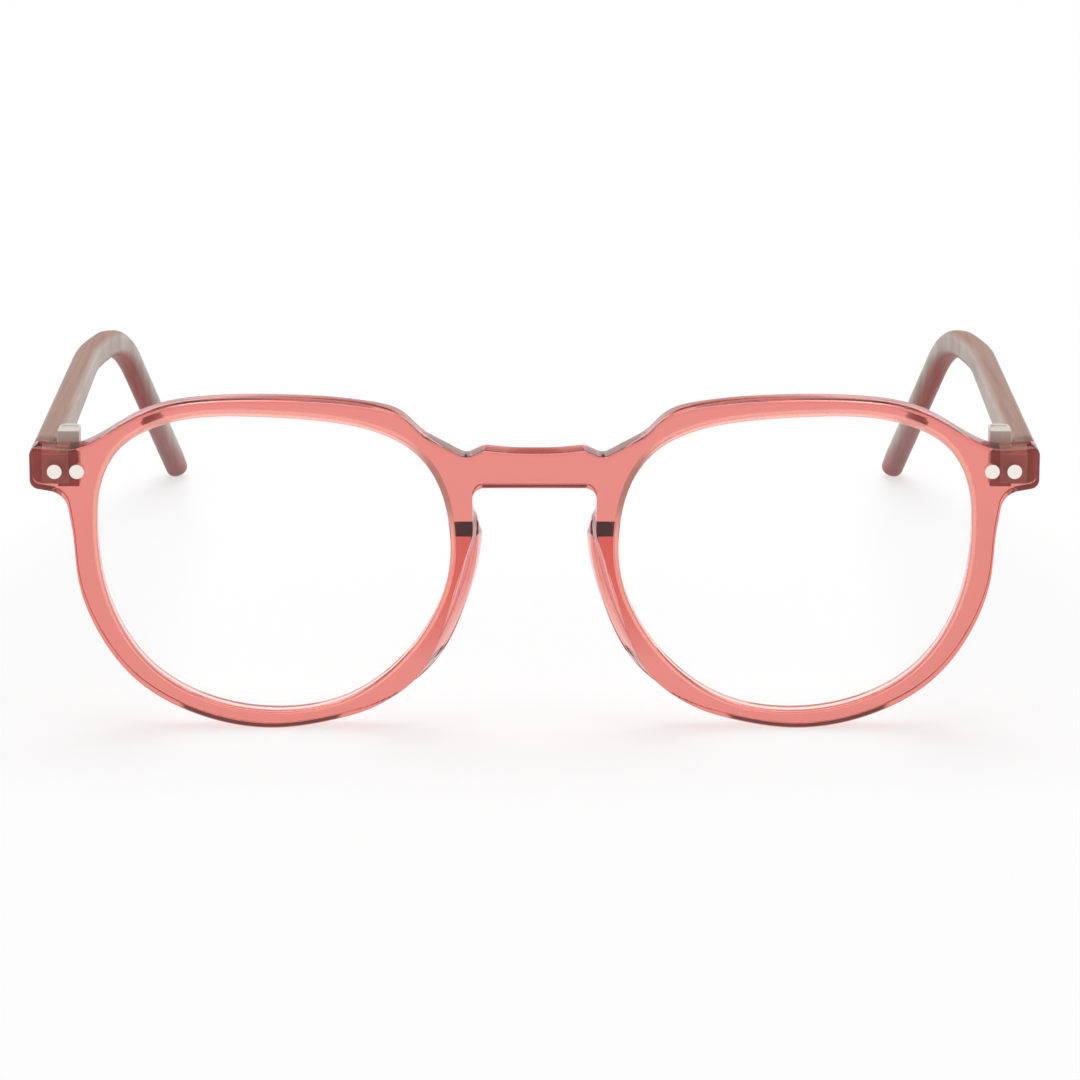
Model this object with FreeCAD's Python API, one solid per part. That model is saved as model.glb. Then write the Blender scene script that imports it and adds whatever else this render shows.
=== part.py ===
import FreeCAD, Part
import math
import os

# Clear acetate spectacles: a flat front with two panto eyes and a keyhole bridge, glued nose
# pads, five-barrel hinges with heat-sunk feet, and bent temples with a metal core.
# Millimetres. X runs across the front, +Y runs back to the ears and +Z is up.
# The front's face is drawn at Y = 0. Each piece is then moved back so that the origin is the
# middle of the ground that the frame covers. Pieces are drawn on the +X side, which is the
# wearer's left, and mirrored for the wearer's right.

vector = FreeCAD.Vector

# Lenses and eyes
lens_width = 50.0
lens_height = 43.5
bridge_between_lenses = 21.4
lens_thickness = 2.0
lens_curve_radius = 260.0
lens_play = 0.04
lens_bevel_land = 0.4
groove_depth = 0.75
groove_half_width = 0.7
groove_behind_face = 2.0

# Front
front_thickness = 4.0
rim_bottom = 2.35
rim_top = 2.35
rim_temple_side = 3.45
front_edge_round = 0.4
eye_edge_round = 0.3

# The eye outline, from the middle of the top towards the temple and round, as shares of how
# far the outline reaches to each side of the lens centre. The rim's outer edge follows the low
# stretch, below the end piece.
eye_top_shares = ((0.10, 1.00), (0.40, 0.995), (0.67, 0.925), (0.87, 0.775), (0.975, 0.54))
eye_low_shares = (
    (1.00, 0.26), (0.975, -0.08), (0.88, -0.41), (0.70, -0.70), (0.42, -0.905), (0.00, -1.00),
)
eye_nose_shares = (
    (-0.42, -0.905), (-0.70, -0.67), (-0.89, -0.37), (-0.985, -0.06), (-0.99, 0.26),
    (-0.93, 0.54), (-0.80, 0.755), (-0.56, 0.905), (-0.24, 0.975),
)

# The top edge of the rim, from the notch beside the bridge to the end piece, as shares of the
# lens's half width and of the rim's height above the lens centre
rim_top_shares = (
    (-0.704, 0.897), (-0.524, 0.957), (-0.348, 0.981), (-0.108, 0.996), (0.132, 1.0),
    (0.388, 0.988), (0.584, 0.957), (0.74, 0.899), (0.88, 0.813), (0.99, 0.745),
)

# Bridge bar: rises above the lens centre, and insets from the lens's nose side
bridge_top_rise = 15.8
bridge_shoulder_rise = 16.2
bridge_under_rise = 10.95
bridge_shoulder_inset = 3.8
bridge_level_half_length = 2.6
bridge_top_round = 50.0
bridge_shoulder_round = 0.5
bridge_under_round = 2.3
nose_top_inset = 2.2
nose_top_drop = 3.1
notch_inset = 1.3
notch_rise = 15.05
notch_round = 1.7
notch_end_past_lens = 3.7
notch_end_rise = 17.75

# The nose edge of the front, at its face and at its back, from the rim's bottom up to the
# bridge, as shares of the way from the edge's top to the lens centre, and of the height of the
# bridge's underside
nose_face_shares = (
    (0.702, 0.035), (0.547, 0.072), (0.408, 0.130), (0.287, 0.211), (0.202, 0.317),
    (0.151, 0.425), (0.102, 0.555), (0.059, 0.665), (0.021, 0.755), (-0.001, 0.815),
    (0.000, 0.859),
)
nose_back_shares = (
    (0.702, 0.035), (0.542, 0.070), (0.393, 0.124), (0.254, 0.203), (0.145, 0.308),
    (0.072, 0.425), (0.018, 0.555), (-0.015, 0.665), (-0.028, 0.755), (-0.030, 0.815),
    (-0.024, 0.859),
)

# End piece, which carries the hinge
end_piece_reach = 8.3
end_piece_top_rise = 16.75
end_piece_height = 5.7
end_piece_root_drop = 0.3
end_piece_root_length = 5.2
end_piece_foot_length = 4.85
end_piece_foot_drop = 0.85
end_piece_top_corner_round = 1.0
end_piece_low_corner_round = 1.3
end_piece_foot_round = 3.0

# Nose pads, glued to the back of the rim
pad_depth = 2.8
pad_top_drop = 5.4
pad_top_slope_drop = 2.6
pad_height = 18.4
pad_back_height = 8.5
pad_back_lean = 0.4
pad_back_round = 12.0
pad_foot_depth = 0.7
pad_flank_lean = 0.6
pad_edge_round = 0.4
pad_eye_side_inset = 0.45

# Decorative pins, flush with the face
pin_radius = 1.0
pin_length = 2.0
pin_spacing = 3.05
pin_outer_inset = 3.4
pin_drop = 3.45
pin_play = 0.02

# Hinge
hinge_height = 7.5
hinge_top_over_end_piece = 1.3
barrel_radius = 1.45
barrel_clear_of_temple = 0.08
barrel_behind_front = 3.0
barrel_count = 5
barrel_gap = 0.05
hinge_flange_thickness = 0.6
foot_width = 3.7
foot_height = 4.1
foot_depth = 1.7
leaf_length = 11.0
leaf_height = 4.6
leaf_thickness = 0.9
leaf_end_round = 1.4
screw_radius = 0.7
screw_play = 0.04
screw_head_radius = 1.05
screw_head_height = 0.6
screw_slot_width = 0.3
screw_slot_depth = 0.3

# Temples
temple_thickness = 3.55
temple_thickness_tip = 3.4
temple_height_hinge = 5.75
temple_height_bend = 4.0
temple_butt_gap = 0.05
temple_slope = 2.75
temple_bend_reach = 96.0
temple_drop_angle = 39.0
temple_bend_radius = 34.0
temple_tip_radius = 2.4
temple_splay = 0.6
temple_turn_in_angle = 8.8
temple_turn_in_reach = 76.0
temple_turn_in_radius = 60.0
temple_edge_round = 1.05

# Core wire inside each temple
core_thickness = 1.2
core_height_hinge = 2.6
core_height_bend = 1.8
core_end_radius = 0.8
core_start = 1.5
core_short_of_tip = 5.0

# How far a cutting or joining shape reaches past what it cuts
overrun = 2.0
smallest_run = 0.0001

# Places worked out from the sizes above
lens_half_width = lens_width / 2
lens_half_height = lens_height / 2
eye_half_width = lens_half_width - groove_depth
eye_half_height = lens_half_height - groove_depth
half_bridge_gap = bridge_between_lenses / 2
lens_centre_x = half_bridge_gap + lens_half_width
half_front_width = lens_centre_x + lens_half_width + end_piece_reach
lens_centre_z = rim_bottom + eye_half_height
bridge_under_z = lens_centre_z + bridge_under_rise
bridge_half_length = half_bridge_gap - bridge_shoulder_inset
nose_top_half_width = half_bridge_gap - nose_top_inset
notch_half_width = half_bridge_gap - notch_inset
notch_end_half_width = half_bridge_gap + notch_end_past_lens
end_piece_top = lens_centre_z + end_piece_top_rise
end_piece_bottom = end_piece_top - end_piece_height
pad_top = bridge_under_z - pad_top_drop
pin_z = end_piece_top - pin_drop
pin_outer_x = half_front_width - pin_outer_inset
pin_inner_x = pin_outer_x - pin_spacing
hinge_top = end_piece_top + hinge_top_over_end_piece
hinge_bottom = hinge_top - hinge_height
hinge_axis_x = half_front_width - temple_thickness - barrel_clear_of_temple - barrel_radius
hinge_axis_y = front_thickness + barrel_behind_front
barrel_pitch = hinge_height / barrel_count
temple_start_y = front_thickness + temple_butt_gap
temple_start_z = end_piece_top - temple_height_hinge / 2


def across_view(a, b, level):
    """Place a point of the front view: a across, b up, at a distance behind the face."""
    return vector(a, level, b)


def side_view(a, b, level):
    """Place a point of the side view: a back, b up, at a distance to the side."""
    return vector(level, a, b)


def top_view(a, b, level):
    """Place a point of the top view: a across, b back, at a height."""
    return vector(a, b, level)


def runs(corners, place, level):
    """Straight edges joined by tangent arcs. Each corner is (a, b, radius), ends included."""
    points = [place(a, b, level) for a, b, radius in corners]
    radii = [radius for a, b, radius in corners]
    edges = []
    start = points[0]
    for i in range(1, len(points) - 1):
        back = points[i - 1] - points[i]
        ahead = points[i + 1] - points[i]
        half_turn = (math.pi - back.getAngle(ahead)) / 2
        room = min(back.Length, ahead.Length) / 2
        reach = min(radii[i] * math.tan(half_turn), room)
        radius = reach / math.tan(half_turn)
        back.normalize()
        ahead.normalize()
        arc_start = points[i] + back * reach
        arc_end = points[i] + ahead * reach
        inward = back + ahead
        inward.normalize()
        arc_middle = points[i] + inward * (radius / math.cos(half_turn) - radius)
        if (arc_start - start).Length > smallest_run:
            edges.append(Part.LineSegment(start, arc_start).toShape())
        edges.append(Part.Arc(arc_start, arc_middle, arc_end).toShape())
        start = arc_end
    if (points[-1] - start).Length > smallest_run:
        edges.append(Part.LineSegment(start, points[-1]).toShape())
    return edges


def prism(edges, depth):
    """Solid between a closed outline and its copy moved by depth."""
    return Part.Face(Part.Wire(edges)).extrude(depth)


def mirrored(shape):
    """The same piece for the wearer's right."""
    return shape.mirror(vector(0, 0, 0), vector(1, 0, 0))


def spline_edge(points, before, after):
    """Smooth open curve through a few points, in line with the point before and the one after."""
    curve = Part.BSplineCurve()
    curve.interpolate(
        Points=points,
        InitialTangent=(points[0] - before).normalize(),
        FinalTangent=(after - points[-1]).normalize(),
        Scale=False,
    )
    return curve.toShape()


def around_eye(shares, across, upward, level):
    """Points around the lens centre that reach so far across and upward."""
    return [vector(lens_centre_x + x * across, level, lens_centre_z + z * upward) for x, z in shares]


def eye_wire(grow, level):
    """Closed outline of the eye opening, grown by the same distance all round."""
    shares = eye_top_shares + eye_low_shares + eye_nose_shares
    points = around_eye(shares, eye_half_width + grow, eye_half_height + grow, level)
    curve = Part.BSplineCurve()
    curve.interpolate(Points=points, PeriodicFlag=True)
    return Part.Wire(curve.toShape())


def top_edge(level, before, after):
    """The rim's top edge, from the notch to the level top of the end piece."""
    points = [vector(notch_end_half_width, level, lens_centre_z + notch_end_rise)]
    for x_share, z_share in rim_top_shares:
        points.append(vector(
            lens_centre_x + x_share * lens_half_width,
            level,
            lens_centre_z + z_share * (eye_half_height + rim_top),
        ))
    points.append(vector(
        half_front_width - end_piece_root_length,
        level,
        end_piece_top - end_piece_root_drop,
    ))
    return spline_edge(points, before, after)


def nose_points(nose_shares, level, lean):
    """Points of the nose edge, moved towards the nose by a lean."""
    across = lens_centre_x - nose_top_half_width
    return [
        vector(nose_top_half_width + x * across - lean, level, z * bridge_under_z)
        for x, z in nose_shares
    ]


def low_points(nose_shares, level):
    """Points of the rim's lower edge, from below the end piece round to the bridge's corner."""
    side_reach = eye_half_width + rim_temple_side
    points = []
    for x_share, z_share in eye_low_shares:
        upward = eye_half_height if z_share > 0 else eye_half_height + rim_bottom
        points.append(vector(lens_centre_x + x_share * side_reach, level, lens_centre_z + z_share * upward))
    points += nose_points(nose_shares, level, 0)
    points.append(vector(nose_top_half_width, level, bridge_under_z - nose_top_drop))
    return points


def front_outline(nose_shares, level):
    """Half of the front's outline at one distance behind its face."""
    bridge_top = [
        (0, lens_centre_z + bridge_top_rise, 0),
        (bridge_level_half_length, lens_centre_z + bridge_top_rise, bridge_top_round),
        (bridge_half_length, lens_centre_z + bridge_shoulder_rise, bridge_shoulder_round),
        (notch_half_width, lens_centre_z + notch_rise, notch_round),
        (notch_end_half_width, lens_centre_z + notch_end_rise, 0),
    ]
    low = low_points(nose_shares, level)
    end_piece = [
        (half_front_width - end_piece_root_length, end_piece_top - end_piece_root_drop, 0),
        (half_front_width, end_piece_top, end_piece_top_corner_round),
        (half_front_width, end_piece_bottom, end_piece_low_corner_round),
        (
            half_front_width - end_piece_foot_length,
            end_piece_bottom - end_piece_foot_drop,
            end_piece_foot_round,
        ),
        (low[0].x, low[0].z, 0),
    ]
    bridge_under = [
        (nose_top_half_width, bridge_under_z - nose_top_drop, 0),
        (nose_top_half_width, bridge_under_z, bridge_under_round),
        (0, bridge_under_z, 0),
    ]
    notch = across_view(*bridge_top[3][:2], level)
    corner = across_view(*end_piece[1][:2], level)
    foot = across_view(*end_piece[3][:2], level)
    under_corner = across_view(*bridge_under[1][:2], level)
    edges = []
    edges += runs(bridge_top, across_view, level)
    edges.append(top_edge(level, notch, corner))
    edges += runs(end_piece, across_view, level)
    edges.append(spline_edge(low, foot, under_corner))
    edges += runs(bridge_under, across_view, level)
    edges.append(Part.LineSegment(
        across_view(0, bridge_under_z, level),
        across_view(0, lens_centre_z + bridge_top_rise, level),
    ).toShape())
    return Part.Wire(edges)


def half_front():
    """Half of the front, whose nose edge leans towards the nose at its back."""
    wires = [
        front_outline(nose_face_shares, 0),
        front_outline(nose_back_shares, front_thickness),
    ]
    plate = Part.makeLoft(wires, True, True)
    opening = Part.Face(eye_wire(0, -overrun)).extrude(vector(0, front_thickness + 2 * overrun, 0))
    return plate.cut(opening)


def plane_edges(solid, level, closed):
    """Edges at one distance behind the face: the eyes where closed, else the outer edge."""
    found = []
    for edge in solid.Edges:
        if edge.Length > smallest_run and edge.isClosed() == closed:
            middle = edge.valueAt((edge.FirstParameter + edge.LastParameter) / 2)
            if all(abs(point.y - level) < smallest_run for point in (middle, edge.Vertexes[0].Point)):
                found.append(edge)
    return found


def rounded_front():
    """The whole front with its edges rounded."""
    half = half_front()
    front = half.fuse(mirrored(half)).removeSplitter().Solids[0]
    outer = plane_edges(front, 0, False) + plane_edges(front, front_thickness, False)
    front = front.makeFillet(front_edge_round, outer)
    eyes = plane_edges(front, 0, True) + plane_edges(front, front_thickness, True)
    return front.makeFillet(eye_edge_round, eyes)


def groove(grow):
    """V-shaped ring under the lens bevel, together with the eye that it surrounds."""
    wires = [
        eye_wire(grow, groove_behind_face - groove_half_width),
        eye_wire(groove_depth + grow, groove_behind_face),
        eye_wire(grow, groove_behind_face + groove_half_width),
    ]
    return Part.makeLoft(wires, True, True)


def lens():
    """Thin curved lens whose bevel sits in the groove."""
    edge_reach = (eye_half_width + eye_half_height) / 2
    bulge = lens_curve_radius - math.sqrt(lens_curve_radius ** 2 - edge_reach ** 2)
    apex_y = groove_behind_face - lens_thickness / 2 - bulge
    front_centre = vector(lens_centre_x, apex_y + lens_curve_radius, lens_centre_z)
    back_centre = front_centre + vector(0, lens_thickness, 0)
    blank = Part.Face(eye_wire(-lens_play, apex_y - overrun))
    blank = blank.extrude(vector(0, lens_thickness + bulge + 2 * overrun, 0))
    blank = blank.common(Part.makeSphere(lens_curve_radius, front_centre))
    blank = blank.cut(Part.makeSphere(lens_curve_radius, back_centre))
    land = Part.Face(eye_wire(-lens_play - lens_bevel_land, 0)).extrude(vector(0, front_thickness, 0))
    return blank.fuse(groove(-lens_play).cut(land)).removeSplitter().Solids[0]


def pin(x, radius):
    """Round peg of a decorative pin, from the face backwards."""
    return Part.makeCylinder(radius, pin_length, vector(x, 0, pin_z), vector(0, 1, 0))


def box(low, high):
    """Block between two opposite corners."""
    size = high - low
    return Part.makeBox(size.x, size.y, size.z, low)


def upright(radius, bottom, top):
    """Cylinder on the hinge's axis."""
    return Part.makeCylinder(radius, top - bottom, vector(hinge_axis_x, hinge_axis_y, bottom))


def hinge_foot():
    """Foot of the front leaf, sunk into the back of the end piece."""
    return box(
        vector(pin_outer_x - foot_width / 2, front_thickness - foot_depth, pin_z - foot_height / 2),
        vector(pin_outer_x + foot_width / 2, front_thickness, pin_z + foot_height / 2),
    )


def knuckle_levels(first):
    """Bottom and top of every second knuckle, counted from the bottom."""
    levels = []
    for index in range(first, barrel_count, 2):
        bottom = hinge_bottom + index * barrel_pitch + barrel_gap / 2
        levels.append((bottom, bottom + barrel_pitch - barrel_gap))
    return levels


def screw_hole():
    """Hole for the screw, with its countersink at the top."""
    hole = upright(screw_radius + screw_play, hinge_bottom - overrun, hinge_top + overrun)
    sink = Part.makeCone(
        screw_radius + screw_play,
        screw_head_radius + screw_play,
        screw_head_height,
        vector(hinge_axis_x, hinge_axis_y, hinge_top - barrel_gap / 2 - screw_head_height),
    )
    return hole.fuse(sink)


def hinge_screw():
    """Countersunk screw that joins the knuckles, with a slot across its head."""
    top = hinge_top - barrel_gap / 2
    shank = upright(screw_radius, hinge_bottom + barrel_gap / 2, top)
    head = Part.makeCone(
        screw_radius,
        screw_head_radius,
        screw_head_height,
        vector(hinge_axis_x, hinge_axis_y, top - screw_head_height),
    )
    slot = box(
        vector(hinge_axis_x - barrel_radius, hinge_axis_y - screw_slot_width / 2, top - screw_slot_depth),
        vector(hinge_axis_x + barrel_radius, hinge_axis_y + screw_slot_width / 2, top + overrun),
    )
    return shank.fuse(head).cut(slot).removeSplitter().Solids[0]


def front_hinge_leaf():
    """Foot, flange and outer knuckles, fixed to the end piece."""
    inner_x = hinge_axis_x - barrel_radius
    outer_x = hinge_axis_x + barrel_radius
    leaf = hinge_foot().fuse(box(
        vector(inner_x, front_thickness, hinge_bottom + barrel_gap / 2),
        vector(outer_x, front_thickness + hinge_flange_thickness, hinge_top - barrel_gap / 2),
    ))
    for bottom, top in knuckle_levels(0):
        neck = box(vector(inner_x, front_thickness, bottom), vector(outer_x, hinge_axis_y, top))
        leaf = leaf.fuse([neck, upright(barrel_radius, bottom, top)])
    return leaf.cut(screw_hole()).removeSplitter().Solids[0]


def temple_leaf_plate():
    """Plate let into the temple's inner face, with a rounded far end."""
    inner_x = half_front_width - temple_thickness
    middle_z = (hinge_top + hinge_bottom) / 2 - hinge_top_over_end_piece / 2
    low = middle_z - leaf_height / 2
    high = middle_z + leaf_height / 2
    far = temple_start_y + leaf_length
    corners = [
        (temple_start_y, middle_z, 0),
        (temple_start_y, high, 0),
        (far, high, leaf_end_round),
        (far, low, leaf_end_round),
        (temple_start_y, low, 0),
        (temple_start_y, middle_z, 0),
    ]
    edges = []
    edges += runs(corners[:2], side_view, inner_x)
    edges += runs(corners[1:5], side_view, inner_x)
    edges += runs(corners[4:], side_view, inner_x)
    return prism(edges, vector(leaf_thickness, 0, 0))


def temple_hinge_leaf():
    """Plate and inner knuckles, fixed to the temple."""
    leaf = temple_leaf_plate()
    for bottom, top in knuckle_levels(1):
        neck = box(
            vector(hinge_axis_x, hinge_axis_y - barrel_radius, bottom),
            vector(half_front_width - temple_thickness, hinge_axis_y + barrel_radius, top),
        )
        leaf = leaf.fuse([neck, upright(barrel_radius, bottom, top)])
    return leaf.cut(screw_hole()).removeSplitter().Solids[0]


def direction(angle):
    """Unit step of the side view, at an angle below level."""
    return vector(math.cos(math.radians(angle)), -math.sin(math.radians(angle)), 0)


def tangent_point(start, centre, radius, side):
    """Where a line from start touches a circle, above it for side 1 and below it for -1."""
    reach = centre - start
    opening = math.asin(radius / reach.Length)
    heading = math.atan2(reach.y, reach.x) + side * opening
    return start + vector(math.cos(heading), math.sin(heading), 0) * (reach.Length * math.cos(opening))


def temple_line(shorter):
    """Bend of the middle line, and a point of it short of the tip circle's centre."""
    start = vector(temple_start_y, temple_start_z, 0)
    bend = start + direction(temple_slope) * temple_bend_reach
    drop = (bend.y - temple_tip_radius) / math.sin(math.radians(temple_drop_angle))
    end = bend + direction(temple_drop_angle) * (drop - shorter)
    return bend, end


def total_depth():
    """How far the temples' tips reach behind the face."""
    return temple_line(0)[1].x + temple_tip_radius


def temple_side_band(start_reach, start_height, bend_height, end_radius, shorter):
    """Bent band of the side view: sloping bar, bend, and drop to a round end."""
    bend, end = temple_line(shorter)
    start = vector(temple_start_y, temple_start_z, 0) + direction(temple_slope) * start_reach
    across_angle = (temple_slope + temple_drop_angle) / 2
    across = vector(math.sin(math.radians(across_angle)), math.cos(math.radians(across_angle)), 0)
    half_bend = across * (bend_height / 2 / math.cos(math.radians(temple_drop_angle - across_angle)))
    high_bend = bend + half_bend
    low_bend = bend - half_bend
    high_end = tangent_point(high_bend, end, end_radius, 1)
    low_end = tangent_point(low_bend, end, end_radius, -1)
    tip = end + direction(temple_drop_angle) * end_radius
    upper = [
        (start.x, start.y + start_height / 2, 0),
        (high_bend.x, high_bend.y, temple_bend_radius + bend_height / 2),
        (high_end.x, high_end.y, 0),
    ]
    lower = [
        (low_end.x, low_end.y, 0),
        (low_bend.x, low_bend.y, temple_bend_radius - bend_height / 2),
        (start.x, start.y - start_height / 2, 0),
    ]
    edges = []
    edges += runs(upper, side_view, 0)
    edges.append(Part.Arc(
        side_view(high_end.x, high_end.y, 0),
        side_view(tip.x, tip.y, 0),
        side_view(low_end.x, low_end.y, 0),
    ).toShape())
    edges += runs(lower, side_view, 0)
    edges.append(Part.LineSegment(
        side_view(start.x, start.y - start_height / 2, 0),
        side_view(start.x, start.y + start_height / 2, 0),
    ).toShape())
    return prism(edges, vector(half_front_width + overrun, 0, 0))


def temple_top_band(outer_inset, thickness, tip_thickness):
    """Band of the top view: straight bar that turns in towards the head near its end."""
    far_y = total_depth() + overrun
    turn_y = front_thickness + temple_turn_in_reach
    turn_in = (far_y - turn_y) * math.tan(math.radians(temple_turn_in_angle))
    outer_x = half_front_width - outer_inset
    corners = [
        (outer_x, front_thickness, 0),
        (outer_x + temple_splay, turn_y, temple_turn_in_radius + thickness / 2),
        (outer_x + temple_splay - turn_in, far_y, 0),
        (outer_x + temple_splay - turn_in - tip_thickness, far_y, 0),
        (outer_x + temple_splay - thickness, turn_y, temple_turn_in_radius - thickness / 2),
        (outer_x - thickness, front_thickness, 0),
        (outer_x, front_thickness, 0),
    ]
    edges = []
    edges += runs(corners[:3], top_view, 0)
    edges += runs(corners[2:4], top_view, 0)
    edges += runs(corners[3:6], top_view, 0)
    edges += runs(corners[5:], top_view, 0)
    return prism(edges, vector(0, 0, end_piece_top + overrun))


def temple_core():
    """Flat wire along the middle of the temple."""
    side = temple_side_band(
        core_start,
        core_height_hinge,
        core_height_bend,
        core_end_radius,
        core_short_of_tip + core_end_radius - temple_tip_radius,
    )
    inset = (temple_thickness - core_thickness) / 2
    return side.common(temple_top_band(inset, core_thickness, core_thickness)).Solids[0]


def temple_bar():
    """The temple with rounded edges, before the hinge leaf and the core are let in."""
    side = temple_side_band(0, temple_height_hinge, temple_height_bend, temple_tip_radius, 0)
    bar = side.common(temple_top_band(0, temple_thickness, temple_thickness_tip)).removeSplitter()
    bar = bar.Solids[0]
    long_edges = [edge for edge in bar.Edges if edge.BoundBox.YMax > temple_start_y + smallest_run]
    return bar.makeFillet(temple_edge_round, long_edges)


def temple():
    """Finished temple: a pocket for the hinge leaf and a channel for the core."""
    return temple_bar().cut([temple_leaf_plate(), temple_core()]).Solids[0]


def nose_pad():
    """Pad behind the nose side of the rim, glued on by its flat front, with a top that slopes back."""
    back_y = front_thickness + pad_depth
    wires = []
    for level, lean in ((front_thickness, 0), (back_y, pad_flank_lean)):
        points = nose_points(nose_back_shares, level, lean)
        curve = Part.BSplineCurve()
        curve.interpolate(Points=points)
        far_top = vector(lens_centre_x, level, points[-1].z)
        far_low = vector(lens_centre_x, level, points[0].z)
        wires.append(Part.Wire([
            curve.toShape(),
            Part.LineSegment(points[-1], far_top).toShape(),
            Part.LineSegment(far_top, far_low).toShape(),
            Part.LineSegment(far_low, points[0]).toShape(),
        ]))
    blank = Part.makeLoft(wires, True, True)
    eye = Part.Face(eye_wire(pad_eye_side_inset, 0)).extrude(vector(0, back_y + overrun, 0))
    low = pad_top - pad_height
    profile = [
        (front_thickness, low, 0),
        (front_thickness, pad_top, 0),
        (back_y, pad_top - pad_top_slope_drop, 0),
        (back_y - pad_back_lean, pad_top - pad_back_height, pad_back_round),
        (front_thickness + pad_foot_depth, low, 0),
        (front_thickness, low, 0),
    ]
    edges = []
    edges += runs(profile[:2], side_view, 0)
    edges += runs(profile[1:3], side_view, 0)
    edges += runs(profile[2:5], side_view, 0)
    edges += runs(profile[4:], side_view, 0)
    reach = prism(edges, vector(lens_centre_x, 0, 0))
    pad = blank.cut(eye).common(reach).removeSplitter().Solids[0]
    free_edges = [edge for edge in pad.Edges if edge.BoundBox.YMin > front_thickness + smallest_run]
    return pad.makeFillet(pad_edge_round, free_edges).Solids[0]


def front():
    """The whole front, with grooves for the lenses and seats for pins and hinge feet."""
    body = rounded_front()
    cutters = []
    for shape in (
        groove(0),
        pin(pin_outer_x, pin_radius + pin_play),
        pin(pin_inner_x, pin_radius + pin_play),
        hinge_foot(),
    ):
        cutters += [shape, mirrored(shape)]
    return body.cut(cutters).Solids[0]


def save(name, shape):
    """Write one piece, moved so that the origin is the middle of the footprint."""
    placed = shape.copy()
    placed.translate(vector(0, -total_depth() / 2, 0))
    placed.exportStep("parts/" + name + ".step")
    print(name, placed.ShapeType, placed.isValid(), round(placed.Volume, 2))


def main():
    os.makedirs("parts", exist_ok=True)
    save("front", front())
    pairs = {
        "lens": lens(),
        "nose_pad": nose_pad(),
        "outer_pin": pin(pin_outer_x, pin_radius),
        "inner_pin": pin(pin_inner_x, pin_radius),
        "front_hinge_leaf": front_hinge_leaf(),
        "hinge_screw": hinge_screw(),
        "temple": temple(),
        "temple_core": temple_core(),
        "temple_hinge_leaf": temple_hinge_leaf(),
    }
    for name, shape in pairs.items():
        save(name + "_left", shape)
        save(name + "_right", mirrored(shape))
    print("hinge axis", hinge_axis_x, hinge_axis_y - total_depth() / 2, "depth", total_depth())


main()
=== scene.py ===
import math

import bmesh
import bpy
from mathutils import Matrix, Vector, geometry


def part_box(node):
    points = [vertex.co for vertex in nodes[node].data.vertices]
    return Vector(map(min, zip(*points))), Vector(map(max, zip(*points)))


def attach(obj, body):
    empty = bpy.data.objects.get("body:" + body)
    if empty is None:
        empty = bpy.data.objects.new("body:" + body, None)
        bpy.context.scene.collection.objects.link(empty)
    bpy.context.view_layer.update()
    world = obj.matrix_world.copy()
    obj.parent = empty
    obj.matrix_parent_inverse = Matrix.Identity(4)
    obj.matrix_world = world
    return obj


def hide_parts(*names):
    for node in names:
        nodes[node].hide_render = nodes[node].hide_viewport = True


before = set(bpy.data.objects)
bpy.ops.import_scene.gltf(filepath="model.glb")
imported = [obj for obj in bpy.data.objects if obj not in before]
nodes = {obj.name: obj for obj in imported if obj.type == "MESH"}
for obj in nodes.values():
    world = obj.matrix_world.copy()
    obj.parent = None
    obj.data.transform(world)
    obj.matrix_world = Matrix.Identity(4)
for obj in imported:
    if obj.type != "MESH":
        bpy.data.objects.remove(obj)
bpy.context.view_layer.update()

# Sizes are in millimetres, as in the part's source: X to the wearer's left, Y counted back from
# the front's face, Z up. spot() turns them into a place in the scene.
face_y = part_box("front")[0].y
sides = {"left": 1, "right": -1}

# The front.
lens_centre = Vector((35.7, 23.35))
eye_half_width, eye_half_height = 24.25, 21.0
lens_half_width = 25.0
rim_temple_side, rim_bottom, rim_top = 3.45, 2.35, 2.35
front_thickness = 4.0
rim_top_end = Vector((63.8, 39.8))
end_piece_corner, end_piece_corner_radius = Vector((69.0, 40.1)), 1.0
end_piece_low, end_piece_low_radius = Vector((69.0, 34.4)), 1.3
end_piece_foot, end_piece_foot_radius = Vector((64.15, 33.55)), 3.0
bridge_top = ((0, 39.15, 0), (2.6, 39.15, 50), (6.9, 39.55, 1.0))
under_bridge, under_bridge_radius = 34.3, 2.3
nose_top = Vector((8.5, 31.2))
notch, notch_radius = Vector((9.4, 38.4)), 1.7
notch_end = Vector((14.4, 41.1))

# Its rounded edges and the slight crown of its top wall, which fades out towards the bridge.
top_round, low_round, eye_round, round_at_pad, round_steps = 0.4, 0.15, 0.25, 0.05, 6
top_crown, crown_fade, crown_levels = 0.12, (9, 16), (0.8, 1.3, 2.0)
pad_zone_low, pad_zone_high, pad_zone_side = (6.7, 9.2), (29.0, 27.0), 22

# The looks stay about a hundredth of a millimetre inside the CAD's front: metres, and shares.
face_inset, depth_share = 0.00001, 0.99375
floor_inset, height_share = 0.000004, 0.9998

# Groove and lens edge: an inset and a level for the front, the bevel and the back.
lens_groove = ((0, 1.3), (0.75, 2.0), (0, 2.7))
lens_edge = ((0, 1.3), (0.74, 2.0), (0, 2.7))
lens_radius, lens_thickness, lens_middle, lens_play = 260.0, 2.0, 2.0, 0.02
contact_levels, contact_facing = (1.2, 2.8), 0.6

# Nose pads. Corners of the back line are (level behind the face, height, radius).
pad_back, pad_flank_lean, pad_root, pad_corner_radius = 6.8, 0.6, 3.2, 0.5
pad_back_corners = ((3.4, 29.46, 0), (pad_back, 26.3, 0.3), (6.4, 20.4, 12.0), (3.3, 5.7, 0))
pad_low, pad_high, pad_steps = 6.0, 29.4, 60
pad_from_eye, pad_overlap, nose_reach = 0.45, 0.02, 30

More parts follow.
